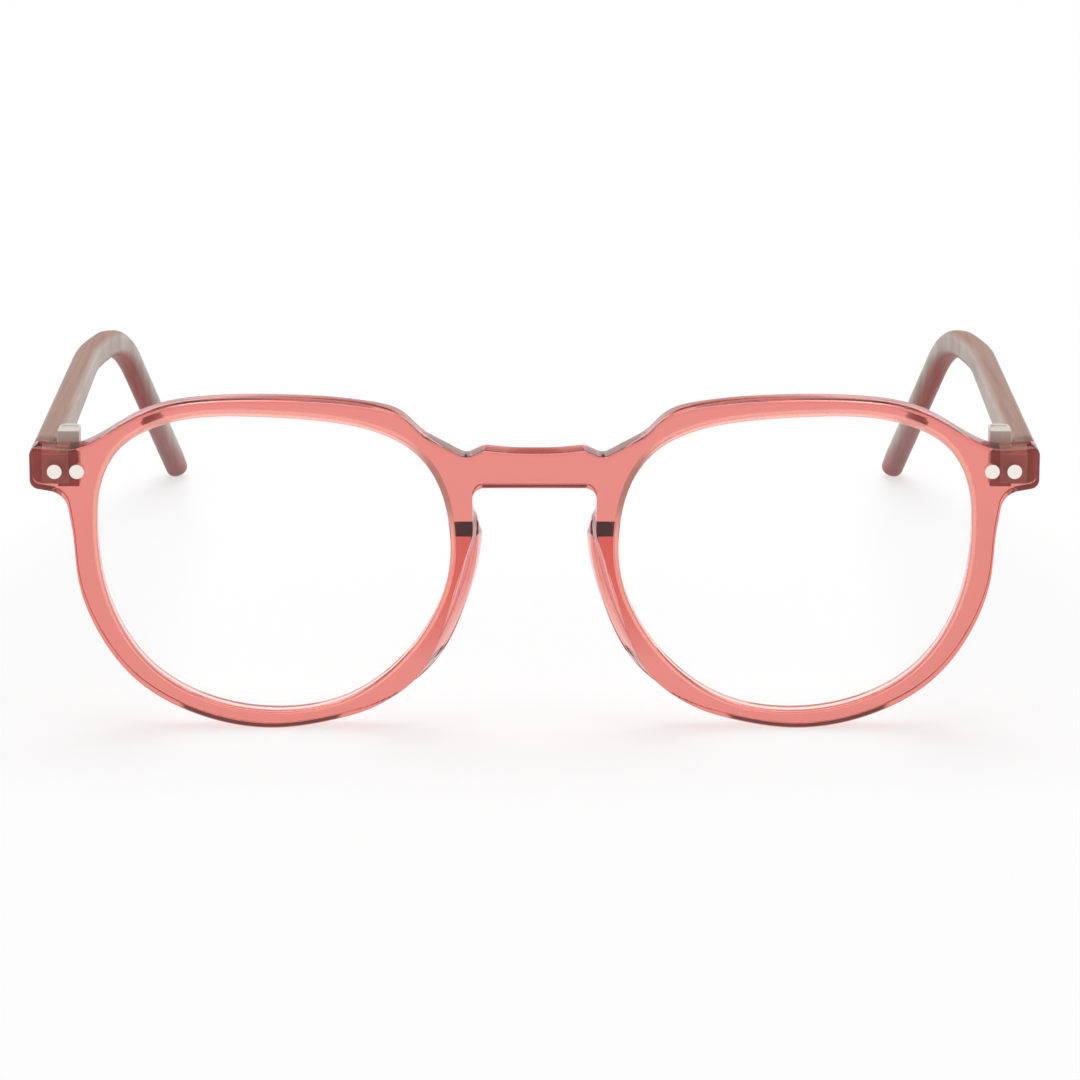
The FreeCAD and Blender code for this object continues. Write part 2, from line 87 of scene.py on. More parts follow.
# Temples, as seen from the side and from above.
temple_start = Vector((4.05, 37.225))
temple_slope, temple_drop = math.radians(2.75), math.radians(39.0)
temple_reach, temple_bend_radius, tip_radius = 96.0, 34.0, 2.4
hinge_height, bend_height, temple_thickness, tip_thickness = 5.75, 4.0, 3.55, 3.4
temple_front, temple_side_front, temple_side = 4.0, 69.0, 69.6
turn_in_start, turn_in_angle, turn_in_radii = 80.0, math.radians(8.8), (62.0, 58.0)
temple_past_tip, temple_section_radius, largest_radius_share = 2.0, 1.45, 0.98
near_steps, bend_steps, leg_steps = 20, 24, 16
temple_roll, temple_roll_fade = math.radians(24), (86, 112)

# Rings round the temple's tip, which stop short of the quarter turn that would close it to a line.
tip_steps, tip_quarter, tip_slimming = 9, 9.4, 0.6

# Mesh work: edges that turn by more degrees stay sharp, and points this close are one, in metres.
front_sharp, lens_sharp, temple_sharp, bevel_sharp = 35, 30, 50, 40
smoothing_sweeps = 50
weld_front, weld_lens = 0.000001, 0.0000001

# Looks. The streaks are noise scales to the side, back along the piece and upward.
acetate_index = 1.49
temple_streaks, core_streaks = (1800.0, 40.0, 40.0), (2500.0, 45.0, 45.0)
# Heading from each lens centre, towards the nose and upward, where the lens edge gets painted
# shade.
shade_heading = Vector((-0.9, 0.44))
hinge_bevel, pin_bevel = 0.0003, 0.00006

# The camera that took the photograph, in metres and radians, and the floor just below the part.
camera_back, camera_height, camera_tilt = 0.6746, 0.2136, 0.26985
camera_lens, camera_shift = 170.2, 0.0051
floor_level, floor_reach = -0.0001, 6.0

# Outlines, as shares of a reach across and of one upward.
eye_top = ((0.10, 1.00), (0.40, 0.995), (0.67, 0.925), (0.87, 0.775), (0.975, 0.54))
eye_low = (
    (1.00, 0.26), (0.975, -0.08), (0.88, -0.41), (0.70, -0.70), (0.42, -0.905), (0.00, -1.00),
)
eye_nose = (
    (-0.42, -0.905), (-0.70, -0.67), (-0.89, -0.37), (-0.985, -0.06), (-0.99, 0.26),
    (-0.93, 0.54), (-0.80, 0.755), (-0.56, 0.905), (-0.24, 0.975),
)
rim_top_shares = (
    (-0.704, 0.897), (-0.524, 0.957), (-0.348, 0.981), (-0.108, 0.996), (0.132, 1.0),
    (0.388, 0.988), (0.584, 0.957), (0.74, 0.899), (0.88, 0.813), (0.99, 0.745),
)
nose_face = (
    (0.702, 0.035), (0.547, 0.072), (0.408, 0.130), (0.287, 0.211), (0.202, 0.317),
    (0.151, 0.425), (0.102, 0.555), (0.059, 0.665), (0.021, 0.755), (-0.001, 0.815),
    (0.000, 0.859),
)
nose_back = (
    (0.702, 0.035), (0.542, 0.070), (0.393, 0.124), (0.254, 0.203), (0.145, 0.308),
    (0.072, 0.425), (0.018, 0.555), (-0.015, 0.665), (-0.028, 0.755), (-0.030, 0.815),
    (-0.024, 0.859),
)


def spot(x, y, z):
    """Place in the scene of a point given in millimetres."""
    return Vector((x / 1000, face_y + y / 1000, z / 1000))


def smooth_line(points, before=None, after=None, pieces=14):
    """Smooth curve through points: closed, or open in line with a point before and one after."""
    closed = before is None
    count = len(points)
    spans = [(points[(i + 1) % count] - points[i]).length for i in range(count)]
    slopes = [Vector((0, 0)) for point in points]
    if not closed:
        slopes[0] = (points[0] - before).normalized()
        slopes[-1] = (after - points[-1]).normalized()
    free = range(count) if closed else range(1, count - 1)
    for sweep in range(smoothing_sweeps):
        for i in free:
            back, ahead = spans[i - 1], spans[i]
            onward = (i + 1) % count
            pull = (points[i] - points[i - 1]) / back ** 2
            pull += (points[onward] - points[i]) / ahead ** 2
            around = slopes[i - 1] / back + slopes[onward] / ahead
            slopes[i] = (3 * pull - around) / (2 / back + 2 / ahead)
    line = []
    for i in range(count if closed else count - 1):
        onward = (i + 1) % count
        reach = spans[i] / 3
        line += geometry.interpolate_bezier(
            points[i], points[i] + slopes[i] * reach, points[onward] - slopes[onward] * reach,
            points[onward], pieces + 1,
        )[:-1]
    return line if closed else line + [points[-1]]


def bent_line(corners, pieces=8):
    """Straight runs joined by tangent arcs. Each corner is (a, b, radius), ends included."""
    points = [Vector(corner[:2]) for corner in corners]
    line = [points[0]]
    for i in range(1, len(points) - 1):
        back = points[i - 1] - points[i]
        ahead = points[i + 1] - points[i]
        half_turn = (math.pi - back.angle(ahead)) / 2
        reach = min(corners[i][2] * math.tan(half_turn), back.length / 2, ahead.length / 2)
        radius = reach / math.tan(half_turn)
        inward = (back.normalized() + ahead.normalized()).normalized()
        centre = points[i] + inward * (radius / math.cos(half_turn))
        arm = points[i] + back.normalized() * reach - centre
        turning = 1 if back.x * ahead.y - back.y * ahead.x < 0 else -1
        for k in range(pieces + 1):
            line.append(centre + Matrix.Rotation(turning * 2 * half_turn * k / pieces, 2) @ arm)
    return line + [points[-1]]


def joined(*lines):
    """One line from several that meet end to end."""
    whole = list(lines[0])
    for line in lines[1:]:
        whole += line[1:]
    return whole


def across_at(line, level):
    """First coordinate of a line where its second one passes a level."""
    for here, there in zip(line, line[1:]):
        if min(here.y, there.y) <= level <= max(here.y, there.y) and here.y != there.y:
            return here.x + (there.x - here.x) * (level - here.y) / (there.y - here.y)
    return min((line[0], line[-1]), key=lambda point: abs(point.y - level)).x


def fade(value, start, end):
    """Share from 0 to 1, soft at both ends, as a value goes from start to end."""
    share = min(1.0, max(0.0, (value - start) / (end - start)))
    return share * share * (3 - 2 * share)


def around_eye(shares, across, upward):
    """Points around the lens centre that reach so far across and upward."""
    return [lens_centre + Vector((x * across, z * upward)) for x, z in shares]


def eye_outline(grow):
    """Closed outline of the eye, grown by the same distance all round."""
    shares = eye_top + eye_low + eye_nose
    return smooth_line(around_eye(shares, eye_half_width + grow, eye_half_height + grow))


def low_edge(nose_shares):
    """The rim's lower edge, from below the end piece round to the bridge's corner."""
    reach = eye_half_width + rim_temple_side
    points = []
    for x, z in eye_low:
        points += around_eye([(x, z)], reach, eye_half_height + (rim_bottom if z < 0 else 0))
    across = lens_centre.x - nose_top.x
    points += [Vector((nose_top.x + x * across, z * under_bridge)) for x, z in nose_shares]
    points.append(nose_top)
    return smooth_line(points, end_piece_foot, Vector((nose_top.x, under_bridge)))


def front_outline(nose_shares):
    """Closed outline of the front, clockwise as seen from in front of it."""
    upward = eye_half_height + rim_top
    top = [notch_end]
    top += [lens_centre + Vector((x * lens_half_width, z * upward)) for x, z in rim_top_shares]
    top.append(rim_top_end)
    low = low_edge(nose_shares)
    half = joined(
        bent_line([*bridge_top, (*notch, notch_radius), (*notch_end, 0)]),
        smooth_line(top, notch, end_piece_corner),
        bent_line([
            (*rim_top_end, 0), (*end_piece_corner, end_piece_corner_radius),
            (*end_piece_low, end_piece_low_radius), (*end_piece_foot, end_piece_foot_radius),
            (*low[0], 0),
        ]),
        low,
        bent_line([
            (*nose_top, 0), (nose_top.x, under_bridge, under_bridge_radius), (0, under_bridge, 0),
        ]),
    )
    return half + [Vector((-point.x, point.y)) for point in half[-2:0:-1]]


def into_material(line, side):
    """Unit steps from each point of a closed line into the acetate beside it."""
    steps = []
    for i, here in enumerate(line):
        run = (line[(i + 1) % len(line)] - here).normalized() + (here - line[i - 1]).normalized()
        steps.append(Vector((run.y, -run.x)).normalized() * side)
    return steps


def wall_rings(face, back, side, face_rounds, back_rounds, between, crowns):
    """Rings of points from the face, over its rounded edge and the wall, round to the back.

    The wall passes the places between, each an inset and a level, and its front half is crowned.
    """
    face_steps = into_material(face, side)
    back_steps = into_material(back, side)
    turns = [math.pi / 2 * k / round_steps for k in range(round_steps + 1)]

    def ring_point(i, inset, level):
        share = level / front_thickness
        inset += crowns[i] * max(0, 1 - 2 * share) ** 2
        place = face[i].lerp(back[i], share) + face_steps[i].lerp(back_steps[i], share) * inset
        return place.x, level, place.y

    rings = []
    for end in (0, 1):
        for inset, level in between if end else ():
            rings.append([ring_point(i, inset, level) for i in range(len(face))])
        for turn in reversed(turns) if end else turns:
            ring = []
            for i in range(len(face)):
                radius = (face_rounds[i], back_rounds[i])[end]
                level = radius * (1 - math.cos(turn))
                level = front_thickness - level if end else level
                ring.append(ring_point(i, radius * (1 - math.sin(turn)), level))
            rings.append(ring)
    return rings


def make_object(name, shape, materials):
    """Scene object from mesh work, with smooth shading except over marked edges."""
    bmesh.ops.recalc_face_normals(shape, faces=shape.faces)
    mesh = bpy.data.meshes.new(name)
    shape.to_mesh(mesh)
    shape.free()
    mesh.polygons.foreach_set("use_smooth", [True] * len(mesh.polygons))
    for material in materials:
        mesh.materials.append(material)
    item = bpy.data.objects.new(name, mesh)
    bpy.context.scene.collection.objects.link(item)
    return item


def add_rings(shape, rings, closed_ends=(False, False), paint=0):
    """Closed rings of points joined by faces."""
    made = [[shape.verts.new(spot(*point)) for point in ring] for ring in rings]
    for near, far in zip(made, made[1:]):
        for i in range(len(near)):
            onward = (i + 1) % len(near)
            shape.faces.new((near[i], near[onward], far[onward], far[i])).material_index = paint
    for ring, closed in zip((made[0], made[-1]), closed_ends):
        if closed:
            shape.faces.new(ring).material_index = paint
    return made


def sharpen(shape, limit):
    """Marks the edges that turn by more than a limit, in degrees."""
    for edge in shape.edges:
        if len(edge.link_faces) == 2 and math.degrees(edge.calc_face_angle(0)) > limit:
            edge.smooth = False


def front_plate(material):
    """The front without its pads: rounded outside, with two eyes."""
    face, back = front_outline(nose_face), front_outline(nose_back)
    face_rounds, back_rounds, crowns = [], [], []
    for point, step in zip(back, into_material(face, 1)):
        upward = max(0, -step.y)
        at_pad = 0
        if abs(point.x) < pad_zone_side:
            at_pad = fade(point.y, *pad_zone_low) * fade(point.y, *pad_zone_high)
        face_rounds.append(low_round + (top_round - low_round) * upward)
        back_rounds.append(low_round - (low_round - round_at_pad) * at_pad)
        crowns.append(top_crown * upward * fade(abs(point.x), *crown_fade))
    eye = eye_outline(0)
    other = [Vector((-point.x, point.y)) for point in reversed(eye)]
    shape = bmesh.new()
    between = [(0, level) for level in crown_levels]
    rings = wall_rings(face, back, 1, face_rounds, back_rounds, between, crowns)
    loops = [add_rings(shape, rings)]
    for line in (eye, other):
        same = [eye_round] * len(line)
        rings = wall_rings(line, line, -1, same, same, lens_groove, [0] * len(line))
        loops.append(add_rings(shape, rings))
    for end in (0, -1):
        borders = [loop[end] for loop in loops]
        flat = [[Vector((vertex.co.x, vertex.co.z, 0)) for vertex in border] for border in borders]
        every = [vertex for border in borders for vertex in border]
        for trio in geometry.tessellate_polygon(flat):
            shape.faces.new([every[i] for i in trio])
    for vertex in shape.verts:
        vertex.co.y = face_y + face_inset + (vertex.co.y - face_y) * depth_share
        vertex.co.z = floor_inset + vertex.co.z * height_share
    return make_object("front_body", shape, [material])


def nose_pad(side):
    """Pad on the back of the rim, with a top that slopes back and a foot that runs out."""
    nose = low_edge(nose_back)
    nose_inner = [point for point in nose if point.x < nose_reach]
    eye_inner = [point for point in eye_outline(pad_from_eye) if point.x < lens_centre.x]
    back_line = bent_line(pad_back_corners)
    rings = []
    for k in range(pad_steps + 1):
        level = pad_low + (pad_high - pad_low) * k / pad_steps
        depth = across_at(back_line, level)
        nose_x = across_at(nose_inner, level) + pad_overlap
        eye_x = across_at(eye_inner, level)
        lean = pad_flank_lean * max(0, depth - front_thickness) / (pad_back - front_thickness)
        ring = bent_line([
            (nose_x, pad_root, 0), (nose_x - lean, depth, pad_corner_radius),
            (eye_x, depth, pad_corner_radius), (eye_x, pad_root, 0),
        ])
        rings.append([(side * point.x, point.y, level) for point in ring])
    shape = bmesh.new()
    add_rings(shape, rings, (True, True))
    return make_object("pad", shape, [])


def applied(item):
    """Replaces an object's mesh by the one that its modifiers give."""
    graph = bpy.context.evaluated_depsgraph_get()
    mesh = bpy.data.meshes.new_from_object(item.evaluated_get(graph))
    item.modifiers.clear()
    item.data = mesh


def front_body(material):
    """Front and glued pads as one clear body."""
    body = front_plate(material)
    for side in sides.values():
        pad = nose_pad(side)
        union = body.modifiers.new("glue", "BOOLEAN")
        union.operation = "UNION"
        union.solver = "EXACT"
        union.object = pad
        applied(body)
        bpy.data.objects.remove(pad)
    shape = bmesh.new()
    shape.from_mesh(body.data)
    bmesh.ops.remove_doubles(shape, verts=shape.verts, dist=weld_front)
    sharpen(shape, front_sharp)
    shape.normal_update()
    contact = shape.faces.layers.float.new("lens_contact")
    for face in shape.faces:
        level = (face.calc_center_median().y - face_y) * 1000
        in_groove = contact_levels[0] < level < contact_levels[1]
        face[contact] = float(in_groove and abs(face.normal.y) > contact_facing)
    shape.to_mesh(body.data)
    shape.free()
    body.data.polygons.foreach_set("use_smooth", [True] * len(body.data.polygons))
    weigh(body)
    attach(body, "frame_front")
    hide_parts("front", "nose_pad_left", "nose_pad_right")


def weigh(item, width=None):
    """Shading that keeps large faces flat, and a small bevel where a width is given."""
    if width:
        bevel = item.modifiers.new("bevel", "BEVEL")
        bevel.width = width
        bevel.segments = 3
        bevel.limit_method = "ANGLE"
        bevel.angle_limit = math.radians(bevel_sharp)
    weights = item.modifiers.new("weights", "WEIGHTED_NORMAL")
    weights.keep_sharp = True


def lens(name, side, clear, ground):
    """Thin curved lens: two polished faces and a ground edge with its bevel."""
    reach = (eye_half_width + eye_half_height) / 2
    outline = eye_outline(-lens_play)
    steps = into_material(outline, -1)
    shape = bmesh.new()

    def sunk(length_squared):
        return lens_radius - math.sqrt(lens_radius ** 2 - length_squared)

    apex = lens_middle - lens_thickness / 2 - sunk(reach ** 2)

    def cap_ring(share, behind):
        ring = []
        for point in outline:
            arm = (point - lens_centre) * share
            level = apex + behind + sunk(arm.length_squared)
            ring.append((side * (lens_centre.x + arm.x), level, lens_centre.y + arm.y))
        return ring

    def edge_ring(inset, level):
        return [
            (side * (point.x + step.x * inset), level, point.y + step.y * inset)
            for point, step in zip(outline, steps)
        ]

    shares = [1.0, 0.985, 0.95, 0.9, 0.8, 0.7, 0.6, 0.5, 0.4, 0.3, 0.2, 0.1, 0.03]
    for behind in (0, lens_thickness):
        add_rings(shape, [cap_ring(share, behind) for share in shares], (False, True))
    edge = [edge_ring(inset, level) for inset, level in lens_edge]
    add_rings(shape, [cap_ring(1.0, 0), *edge, cap_ring(1.0, lens_thickness)], paint=1)
    bmesh.ops.remove_doubles(shape, verts=shape.verts, dist=weld_lens)
    sharpen(shape, lens_sharp)
    item = make_object("clear_lens_" + name, shape, [clear, ground])
    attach(item, "frame_front")
    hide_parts("lens_" + name)


def rounded_section(half_width, half_height, corner):
    """Closed ring of a rounded rectangle."""
    corner = min(corner, half_width * largest_radius_share, half_height * largest_radius_share)
    ring = []
    for quarter in range(4):
        centre = Vector((
            (half_width - corner) * (1 if quarter in (0, 3) else -1),
            (half_height - corner) * (1 if quarter in (0, 1) else -1),
        ))
        for k in range(9):
            turn = math.pi / 2 * (quarter + k / 8)
            ring.append(centre + corner * Vector((math.cos(turn), math.sin(turn))))
    return ring


def sloping(angle):
    """Unit step back and down at an angle."""
    return Vector((math.cos(angle), -math.sin(angle)))


def across_at_back(line, back):
    """Distance to the side of a line of the top view, so far behind the face."""
    return across_at(line, min(back, line[-1].y))


def temple(name, side, material):
    """Bent temple: a bar that slopes back, bends behind the ear and drops to a round tip."""
    bend = temple_start + sloping(temple_slope) * temple_reach
    drop = (bend.y - tip_radius) / math.sin(temple_drop)
    end = bend + sloping(temple_drop) * drop
    far = end.x + tip_radius + temple_past_tip
    turn_in = (far - turn_in_start) * math.tan(turn_in_angle)
    outer, inner = (
        bent_line([
            (temple_side_front - thickness, temple_front, 0),
            (temple_side - thickness, turn_in_start, radius),
            (temple_side - turn_in - end_thickness, far, 0),
        ])
        for thickness, end_thickness, radius in zip(
            (0, temple_thickness), (0, tip_thickness), turn_in_radii,
        )
    )
    middle = bent_line([(*temple_start, 0), (*bend, temple_bend_radius), (*end, 0)], bend_steps)
    near = [middle[0].lerp(middle[1], k / near_steps) for k in range(near_steps)]
    leg = [middle[-2].lerp(middle[-1], k / leg_steps) for k in range(1, leg_steps + 1)]
    line = near + middle[1:-1] + leg
    stations = []
    for i, place in enumerate(line):
        ahead = line[min(i + 1, len(line) - 1)] - line[max(i - 1, 0)]
        share = min(1, (place - temple_start).length / temple_reach)
        height = hinge_height + (bend_height - hinge_height) * share
        if place.x > bend.x:
            share = (place.x - bend.x) / (end.x - bend.x)
            height = bend_height + (2 * tip_radius - bend_height) * share
        stations.append((place, math.atan2(-ahead.y, ahead.x), height / 2, 1.0))
    for k in range(1, tip_steps + 1):
        turn = math.pi / 2 * k / tip_quarter
        place = end + sloping(temple_drop) * tip_radius * math.sin(turn)
        slim = math.cos(turn) ** tip_slimming
        stations.append((place, temple_drop, tip_radius * math.cos(turn), slim))
    rings = []
    for place, angle, half_height, slim in stations:
        roll = temple_roll * fade(place.x, *temple_roll_fade)
        ring = []
        width = (across_at_back(outer, place.x) - across_at_back(inner, place.x)) / 2
        for point in rounded_section(width * slim, half_height, temple_section_radius):
            up = point.y * math.cos(roll) - point.x * math.sin(roll)
            out = point.x * math.cos(roll) + point.y * math.sin(roll)
            back = place.x + up * math.sin(angle)
            level = place.y + up * math.cos(angle)
            centre = (across_at_back(outer, back) + across_at_back(inner, back)) / 2
            ring.append((side * (centre + out), max(back, temple_start.x), max(0, level)))
        rings.append(ring)
    shape = bmesh.new()
    add_rings(shape, rings, (True, True))
    sharpen(shape, temple_sharp)
    item = make_object("temple_bar_" + name, shape, [material])
    weigh(item)
    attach(item, "arm_" + name)
    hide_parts("temple_" + name)


class Wire:
    """A socket of a material or world. Arithmetic on it adds Math nodes."""

    def __init__(self, paint, socket):
        self.paint = paint
        self.socket = socket

    def maths(self, operation, first, second):
        node = self.paint.node("ShaderNodeMath", {"operation": operation}, {0: first, 1: second})
        return node["Value"]

    def __add__(self, other):
        return self.maths("ADD", self, other)

    def __radd__(self, other):
        return self.maths("ADD", other, self)

    def __sub__(self, other):
        return self.maths("SUBTRACT", self, other)

    def __rsub__(self, other):
        return self.maths("SUBTRACT", other, self)

    def __mul__(self, other):
        return self.maths("MULTIPLY", self, other)

    def __rmul__(self, other):
        return self.maths("MULTIPLY", other, self)


class Outputs:
    """The outputs of a node, by name or number."""

    def __init__(self, paint, node):
        self.paint = paint
        self.node = node

    def __getitem__(self, name):
        return Wire(self.paint, self.node.outputs[name])


# Sockets of the Mix node for colours, which share their names with those for numbers.
mix_first, mix_second, mix_result = 6, 7, 2


class Paint:
    """The node tree of one material or of the world."""

    def __init__(self, owner):
        owner.use_nodes = True
        self.tree = owner.node_tree
        self.tree.nodes.clear()

    def node(self, kind, settings=None, inputs=None):
        """Adds a node of a type: its settings first, then the values or links of its sockets."""
        made = self.tree.nodes.new(kind)
        for name, value in (settings or {}).items():
            if name == "stops":
                ramp = made.color_ramp
                while len(ramp.elements) > 1:
                    ramp.elements.remove(ramp.elements[-1])
                ramp.elements[0].position, ramp.elements[0].color = value[0]
                for position, colour in value[1:]:
                    ramp.elements.new(position).color = colour
            else:
                setattr(made, name, value)
        for name, value in (inputs or {}).items():
            if isinstance(value, Wire):
                self.tree.links.new(value.socket, made.inputs[name])
            else:
                made.inputs[name].default_value = value
        return Outputs(self, made)

    def place(self):
        """Place on the object, in metres."""
        return self.node("ShaderNodeTexCoord")["Object"]

    def noise(self, vector, scale, detail):
        """Soft noise from 0 to 1."""
        inputs = {"Vector": vector, "Scale": scale, "Detail": detail}
        return self.node("ShaderNodeTexNoise", {}, inputs)["Fac"]

    def vector(self, operation, first, second=None):
        """Vector Math on one vector or on two."""
        inputs = {0: first} if second is None else {0: first, 1: second}
        return self.node("ShaderNodeVectorMath", {"operation": operation}, inputs)["Vector"]

    def parts(self, vector):
        """X, Y and Z of a vector."""
        return self.node("ShaderNodeSeparateXYZ", {}, {"Vector": vector})

    def ramp(self, share, *stops):
        """Colour that follows stops, each a position and a colour."""
        return self.node("ShaderNodeValToRGB", {"stops": stops}, {"Fac": share})["Color"]

    def mixed(self, share, first, second, blend="MIX"):
        """Colour mixed from two."""
        settings = {"data_type": "RGBA", "blend_type": blend}
        inputs = {"Factor": share, mix_first: first, mix_second: second}
        return self.node("ShaderNodeMix", settings, inputs)[mix_result]

    def bump(self, height, strength, distance):
        """Normal over a surface raised by a height."""
        inputs = {"Strength": strength, "Distance": distance, "Height": height}
        return self.node("ShaderNodeBump", {}, inputs)["Normal"]


def rgb(red, green, blue):
    """Linear colour from the values that a screen shows, 0 to 255."""
    values = []
    for level in (red, green, blue):
        share = level / 255
        values.append(share / 12.92 if share <= 0.04045 else ((share + 0.055) / 1.055) ** 2.4)
    return (*values, 1.0)


def grey(level):
    """Neutral colour of one level."""
    return (level, level, level, 1.0)


def finish_material(name, settings, volume=None, contact=None):
    """A material with one Principled shader, and a volume where light is soaked up inside.

    Where a mesh value says so, the surface is in close contact with another and isn't seen.
    """
    material = bpy.data.materials.new(name)
    paint = Paint(material)
    shader = paint.node("ShaderNodeBsdfPrincipled", {}, settings(paint))
    links = {"Surface": shader["BSDF"]}
    if contact:
        touching = paint.node("ShaderNodeAttribute", {"attribute_name": contact})["Fac"]
        unseen = paint.node("ShaderNodeBsdfTransparent")["BSDF"]
        either = {0: touching, 1: shader["BSDF"], 2: unseen}
        links["Surface"] = paint.node("ShaderNodeMixShader", {}, either)["Shader"]
    if volume:
        links["Volume"] = paint.node("ShaderNodeVolumeAbsorption", {}, volume)["Volume"]
    paint.node("ShaderNodeOutputMaterial", {}, links)
    return material


def shadow_alpha(paint, strength):
    """Full cover for what the eye sees, and less for the shadow that the piece throws."""
    return 1 - strength * paint.node("ShaderNodeLightPath")["Is Shadow Ray"]


def acetate_look(paint):
    """Polished see-through acetate, with faint polishing waves and a faint rose glow of painted
    light.
    """
    place = paint.place()
    haze = paint.noise(place, scale=900.0, detail=3.0)
    wave = paint.noise(place, scale=55.0, detail=1.0)
    return {
        "Base Color": (1.0, 0.985, 0.98, 1.0),
        "Roughness": 0.012 + 0.03 * haze,
        "IOR": acetate_index,
        "Transmission Weight": 1.0,
        # Painted light: a faint rose glow that stands in for light scattered inside the acetate.
        "Emission Color": rgb(240, 130, 122),
        "Emission Strength": 0.015,
        "Alpha": shadow_alpha(paint, 0.6),
        "Normal": paint.bump(wave, strength=0.02, distance=0.001),
    }


def temple_look(paint):
    """Acetate clouded by pale streaks along the temple and rose at its tip, with painted shade:
    dark rose underneath and darker beige on top.
    """
    place = paint.place()
    facing = paint.node("ShaderNodeTexCoord")["Normal"]
    streak = paint.noise(paint.vector("MULTIPLY", place, temple_streaks), scale=1.0, detail=3.0)
    height = paint.parts(place)["Z"]
    upward = paint.parts(facing)["Z"]
    tone = paint.ramp(
        streak,
        (0.3, rgb(204, 182, 170)), (0.5, rgb(236, 220, 208)), (0.7, rgb(250, 240, 232)),
    )
    height_in_cm = height * 100.0
    tip = paint.ramp(height_in_cm, (0.2, rgb(222, 128, 124)), (0.9, grey(1.0)))
    # Painted shade by facing: dark rose on faces turned down, darker beige on faces turned up, the
    # sides left as they are.
    painted_facing_shade = paint.ramp(
        0.5 + 0.5 * upward,
        (0.14, rgb(206, 88, 76)), (0.4, grey(1.0)), (0.66, grey(1.0)), (0.95, rgb(198, 160, 142)),
    )
    for tint in (tip, painted_facing_shade):
        tone = paint.mixed(1.0, tone, tint, "MULTIPLY")
    return {
        "Base Color": tone,
        "Roughness": 0.36 + 0.14 * streak,
        "IOR": acetate_index,
        "Transmission Weight": 0.35,
        "Alpha": shadow_alpha(paint, 0.5),
        "Normal": paint.bump(streak, strength=0.03, distance=0.001),
    }


def lens_look(paint):
    """Thin clear lens, polished with a very faint unevenness."""
    return {
        "Base Color": grey(1.0),
        "Roughness": 0.006 * paint.noise(paint.place(), scale=300.0, detail=2.0),
        "IOR": 1.5,
        "Transmission Weight": 1.0,
        "Alpha": shadow_alpha(paint, 0.95),
    }


def ground_look(paint):
    """Frosted edge of a lens, ground on a wheel, with a painted cream glow, and painted shade high
    on the side of the nose.
    """
    place = paint.place()
    centre = (lens_centre.x / 1000, 0.0, lens_centre.y / 1000)
    from_centre = paint.vector("SUBTRACT", paint.vector("ABSOLUTE", place), centre)
    level = paint.vector("MULTIPLY", from_centre, (1.0, 0.0, 1.0))
    outward = paint.parts(paint.vector("NORMALIZE", level))
    towards_shade = shade_heading.y * outward["Z"] + shade_heading.x * outward["X"]
    # Painted shade: towards the nose and upward the edge turns dark brown and less see-through.
    shade = paint.ramp(towards_shade, (0.96, grey(0.0)), (0.995, grey(0.6)))
    grain = paint.noise(place, scale=2500.0, detail=4.0)
    tone = paint.mixed(grain, rgb(250, 246, 240), rgb(232, 226, 220))
    return {
        "Base Color": paint.mixed(shade, tone, rgb(74, 44, 40)),
        "Roughness": 0.55,
        # Painted light: the edge glows cream, except where the painted shade lies.
        "Emission Color": paint.mixed(shade, rgb(250, 228, 212), grey(0.0)),
        "Emission Strength": 0.6,
        "Alpha": 0.25 + 0.2 * grain + 0.4 * shade,
        "Normal": paint.bump(grain, strength=0.3, distance=0.0001),
    }


def core_look(paint):
    """Drawn wire with streaks along it, seen through the temple."""
    place = paint.place()
    streak = paint.noise(paint.vector("MULTIPLY", place, core_streaks), scale=1.0, detail=4.0)
    spots = paint.noise(place, scale=900.0, detail=3.0)
    tone = paint.ramp(
        0.8 * streak + 0.2 * spots,
        (0.3, rgb(124, 104, 92)), (0.5, rgb(190, 168, 150)), (0.7, rgb(226, 206, 188)),
    )
    return {
        "Base Color": tone,
        "Metallic": 0.2,
        "Roughness": 0.4 + 0.3 * spots,
        "Normal": paint.bump(streak, strength=0.15, distance=0.0001),
    }


def metal_look(colour, low, high, scale):
    """Worn metal whose roughness varies from low to high at a given scale."""
    def settings(paint):
        grain = paint.noise(paint.place(), scale, detail=4.0)
        return {
            "Base Color": colour,
            "Metallic": 1.0,
            "Roughness": low + (high - low) * grain,
            "Normal": paint.bump(grain, strength=0.15, distance=0.0001),
        }
    return settings


soak = {"Color": (0.88, 0.31, 0.245, 1.0), "Density": 500.0}
pale_soak = {"Color": (0.88, 0.42, 0.36, 1.0), "Density": 260.0}
acetate = finish_material("rose_acetate", acetate_look, soak, "lens_contact")
pale_acetate = finish_material("pale_rose_acetate", temple_look, pale_soak)
clear = finish_material("clear_lens", lens_look)
ground = finish_material("ground_lens_edge", ground_look)
bright = finish_material(
    "bright_pin", metal_look(rgb(245, 238, 230), low=0.12, high=0.3, scale=4000.0),
)
nickel = finish_material(
    "hinge_nickel", metal_look(rgb(205, 199, 190), low=0.5, high=0.7, scale=3000.0),
)
wire = finish_material("core_wire", core_look)

kinds = {"pin": (bright, pin_bevel), "hinge": (nickel, hinge_bevel), "core": (wire, None)}
for name, item in nodes.items():
    kind = next((kind for kind in kinds if kind in name), None)
    look, bevel = kinds.get(kind, (acetate, None))
    item.data.materials.clear()
    item.data.materials.append(look)
    item.data.polygons.foreach_set("use_smooth", [True] * len(item.data.polygons))
    if bevel:
        weigh(item, bevel)

front_body(acetate)
for name, side in sides.items():
    lens(name, side, clear, ground)
    temple(name, side, pale_acetate)


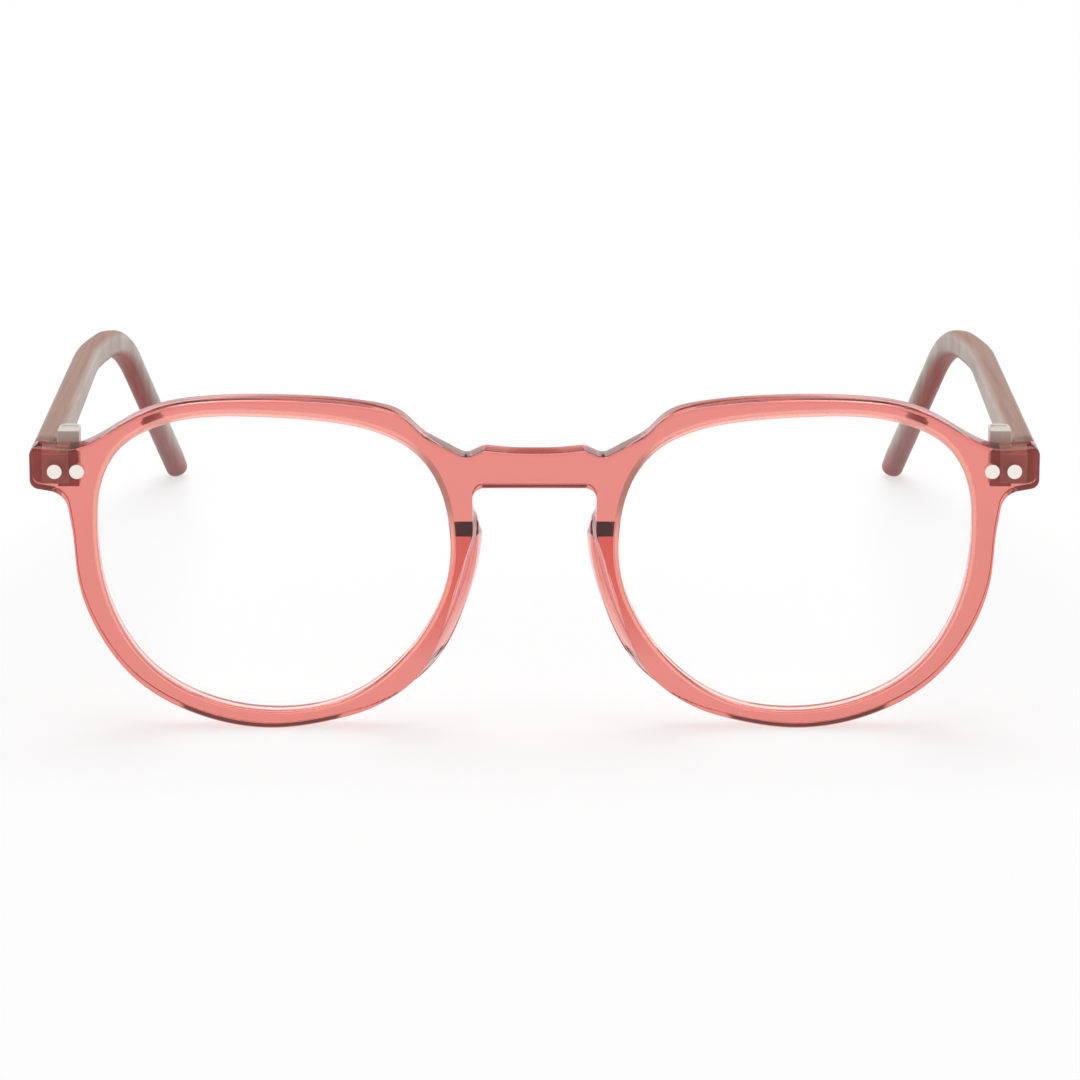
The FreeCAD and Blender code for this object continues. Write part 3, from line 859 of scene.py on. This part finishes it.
def stage_material(name, diffuse, lift):
    """White floor that keeps its shadows, lifted for what the camera, gloss and glass see."""
    material = bpy.data.materials.new(name)
    paint = Paint(material)
    path = paint.node("ShaderNodeLightPath")
    seen = path["Is Camera Ray"]
    for kind in ("Is Glossy Ray", "Is Transmission Ray"):
        seen = seen.maths("MAXIMUM", seen, path[kind])
    matt = paint.node("ShaderNodeBsdfDiffuse", {}, {"Color": grey(diffuse)})
    glow = paint.node("ShaderNodeEmission", {}, {"Color": grey(1.0), "Strength": seen * lift})
    both = paint.node("ShaderNodeAddShader", {}, {0: matt["BSDF"], 1: glow["Emission"]})
    paint.node("ShaderNodeOutputMaterial", {}, {"Surface": both["Shader"]})
    return material


def floor():
    """Wide pale floor."""
    shape = bmesh.new()
    corners = ((-1, -1), (1, -1), (1, 1), (-1, 1))
    shape.faces.new([
        shape.verts.new((x * floor_reach, y * floor_reach, floor_level)) for x, y in corners
    ])
    white = stage_material("floor_white", diffuse=0.4, lift=0.6)
    make_object("studio_floor", shape, [white])


def studio_world():
    """White low round the object, with a second white band over a dark one, and grey above."""
    world = bpy.data.worlds.new("studio")
    bpy.context.scene.world = world
    paint = Paint(world)
    heading = paint.node("ShaderNodeTexCoord")["Generated"]
    tone = paint.ramp(
        paint.parts(heading)["Z"],
        (0.0, grey(1.0)), (0.242, grey(1.0)), (0.249, grey(0.12)), (0.34, grey(0.12)),
        (0.38, grey(1.0)), (0.5, grey(1.0)), (0.6, grey(0.2)), (1.0, grey(0.15)),
    )
    glow = paint.node("ShaderNodeBackground", {}, {"Color": tone, "Strength": 1.0})
    paint.node("ShaderNodeOutputWorld", {}, {"Surface": glow["Background"]})


def lamp(name, place, aim, size, power):
    """Soft square lamp."""
    light = bpy.data.lights.new(name, "AREA")
    light.shape = "SQUARE"
    light.size = size
    light.energy = power
    item = bpy.data.objects.new(name, light)
    item.location = place
    item.rotation_euler = (Vector(aim) - Vector(place)).to_track_quat("-Z", "Y").to_euler()
    bpy.context.scene.collection.objects.link(item)


def camera():
    """Camera at the photograph's place: in front, above and tilted down."""
    view = bpy.data.cameras.new("view")
    view.sensor_width = 36.0
    view.lens = camera_lens
    view.shift_x = camera_shift
    view.clip_start = 0.01
    item = bpy.data.objects.new("view", view)
    item.location = (0.0, face_y - camera_back, camera_height)
    item.rotation_euler = (math.radians(90.0) - camera_tilt, 0.0, 0.0)
    bpy.context.scene.collection.objects.link(item)
    bpy.context.scene.camera = item


floor()
studio_world()
lamp("overhead", place=(0.0, 0.1, 1.2), aim=(0.0, 0.0, 0.0), size=1.2, power=9.0)
lamp("rear_softbox", place=(0.0, 1.0, 1.4), aim=(0.0, 0.2, 0.0), size=1.2, power=7.0)
camera()
bpy.context.scene.view_settings.view_transform = "Standard"
